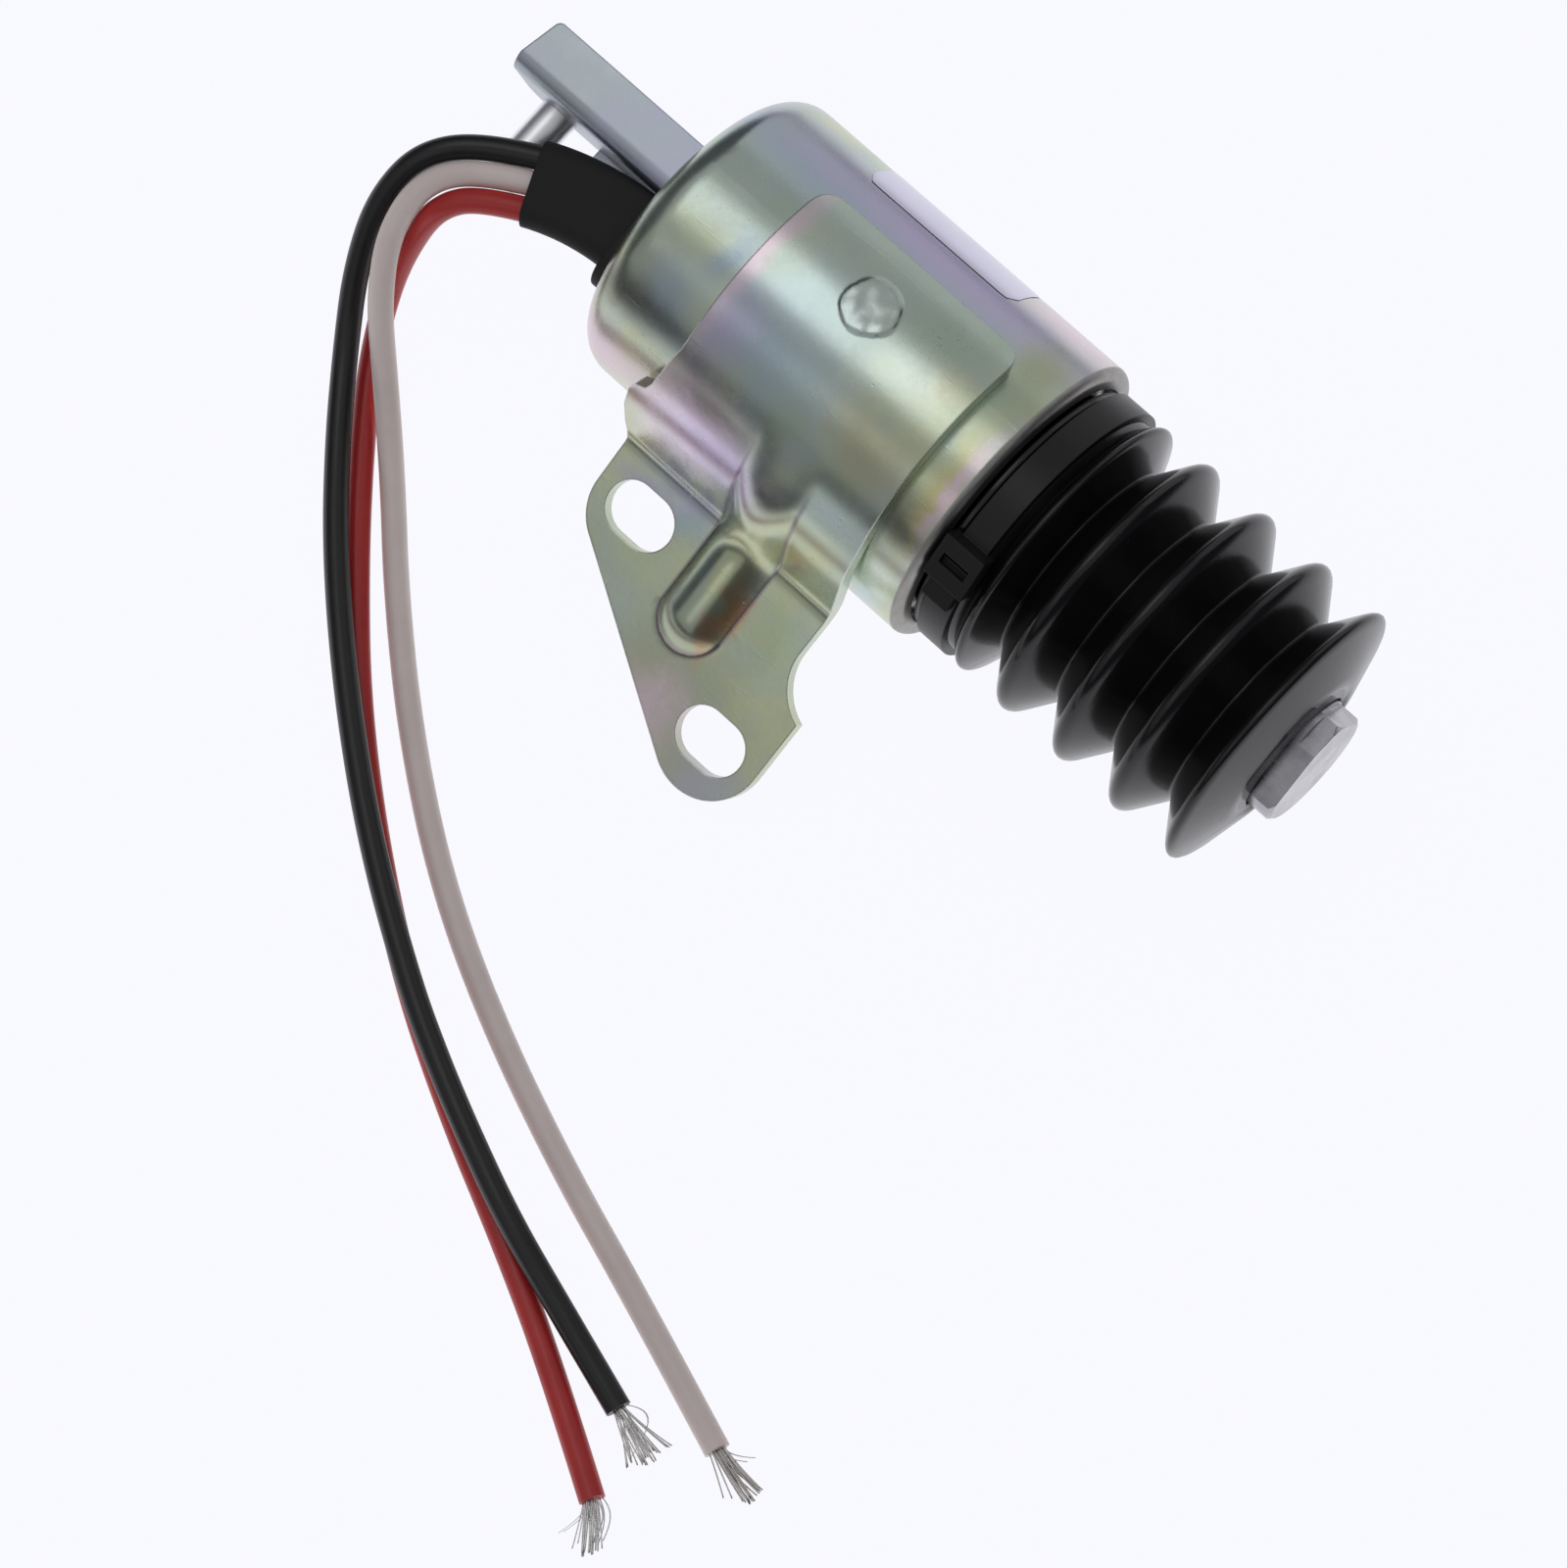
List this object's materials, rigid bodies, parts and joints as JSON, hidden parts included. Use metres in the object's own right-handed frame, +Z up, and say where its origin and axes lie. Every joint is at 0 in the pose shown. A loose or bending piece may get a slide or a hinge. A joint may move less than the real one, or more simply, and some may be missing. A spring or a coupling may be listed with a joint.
{
  "type": "fuel shutoff solenoid",
  "caption": "Pull solenoid in a round can with a folded slotted bracket, a bellows boot over its sliding plunger, a rear arm with a stud and loose leads.",
  "frame": {"origin": "on the surface the part rests on, below the middle of the box round the part without its leads", "axes": "+X along the can's axis towards the plunger, +Y away from the mounting flange, +Z up"},
  "size_m": [0.1322, 0.1323, 0.0406],
  "materials": {
    "plated_can": "zinc with iridescent yellow chromate",
    "pole_steel": "polished dark steel",
    "core_steel": "plain",
    "resin": "cast",
    "tube_brass": "drawn",
    "bobbin_plastic": "moulded",
    "winding": "enamelled wire",
    "tape": "coil tape",
    "plunger_steel": "turned and milled",
    "spring_steel": "bright",
    "boot_rubber": "glossy",
    "tie_nylon": "moulded",
    "plated_bracket": "zinc with iridescent yellow chromate",
    "plated_arm": "zinc",
    "stud_steel": "bright",
    "grommet_rubber": "matt",
    "sleeve_plastic": "matt",
    "black_insulation": "extruded",
    "white_insulation": "extruded",
    "red_insulation": "extruded",
    "tinned_strands": "bare tinned wire"
  },
  "bodies": {
    "housing": {"can": "plated_can", "front_pole_plate": "pole_steel", "rear_plate": "core_steel", "potting": "resin", "fixed_core": "core_steel", "guide_tube": "tube_brass", "bobbin": "bobbin_plastic", "pull_coil": "winding", "hold_coil": "winding", "coil_wrap": "tape", "return_spring": "spring_steel", "boot": "boot_rubber", "boot_tie": "tie_nylon", "mounting_bracket": "plated_bracket", "rear_arm": "plated_arm", "arm_pin": "stud_steel", "lead_grommet": "grommet_rubber", "lead_sleeve": "sleeve_plastic", "black_lead": "black_insulation", "white_lead": "white_insulation", "red_lead": "red_insulation", "black_strands": "tinned_strands", "white_strands": "tinned_strands", "red_strands": "tinned_strands"},
    "plunger": {"plunger": "plunger_steel", "spring_seat": "core_steel", "retaining_ring": "spring_steel"}
  },
  "joints": [
    {"name": "plunger_slide", "type": "slide", "parent": "housing", "child": "plunger", "axis": [-1, 0, 0], "range_m": [0, 0.014], "stiffness_N_per_m": 1500, "springref_m": -0.01, "deforming": ["boot", "return_spring"]}
  ]
}
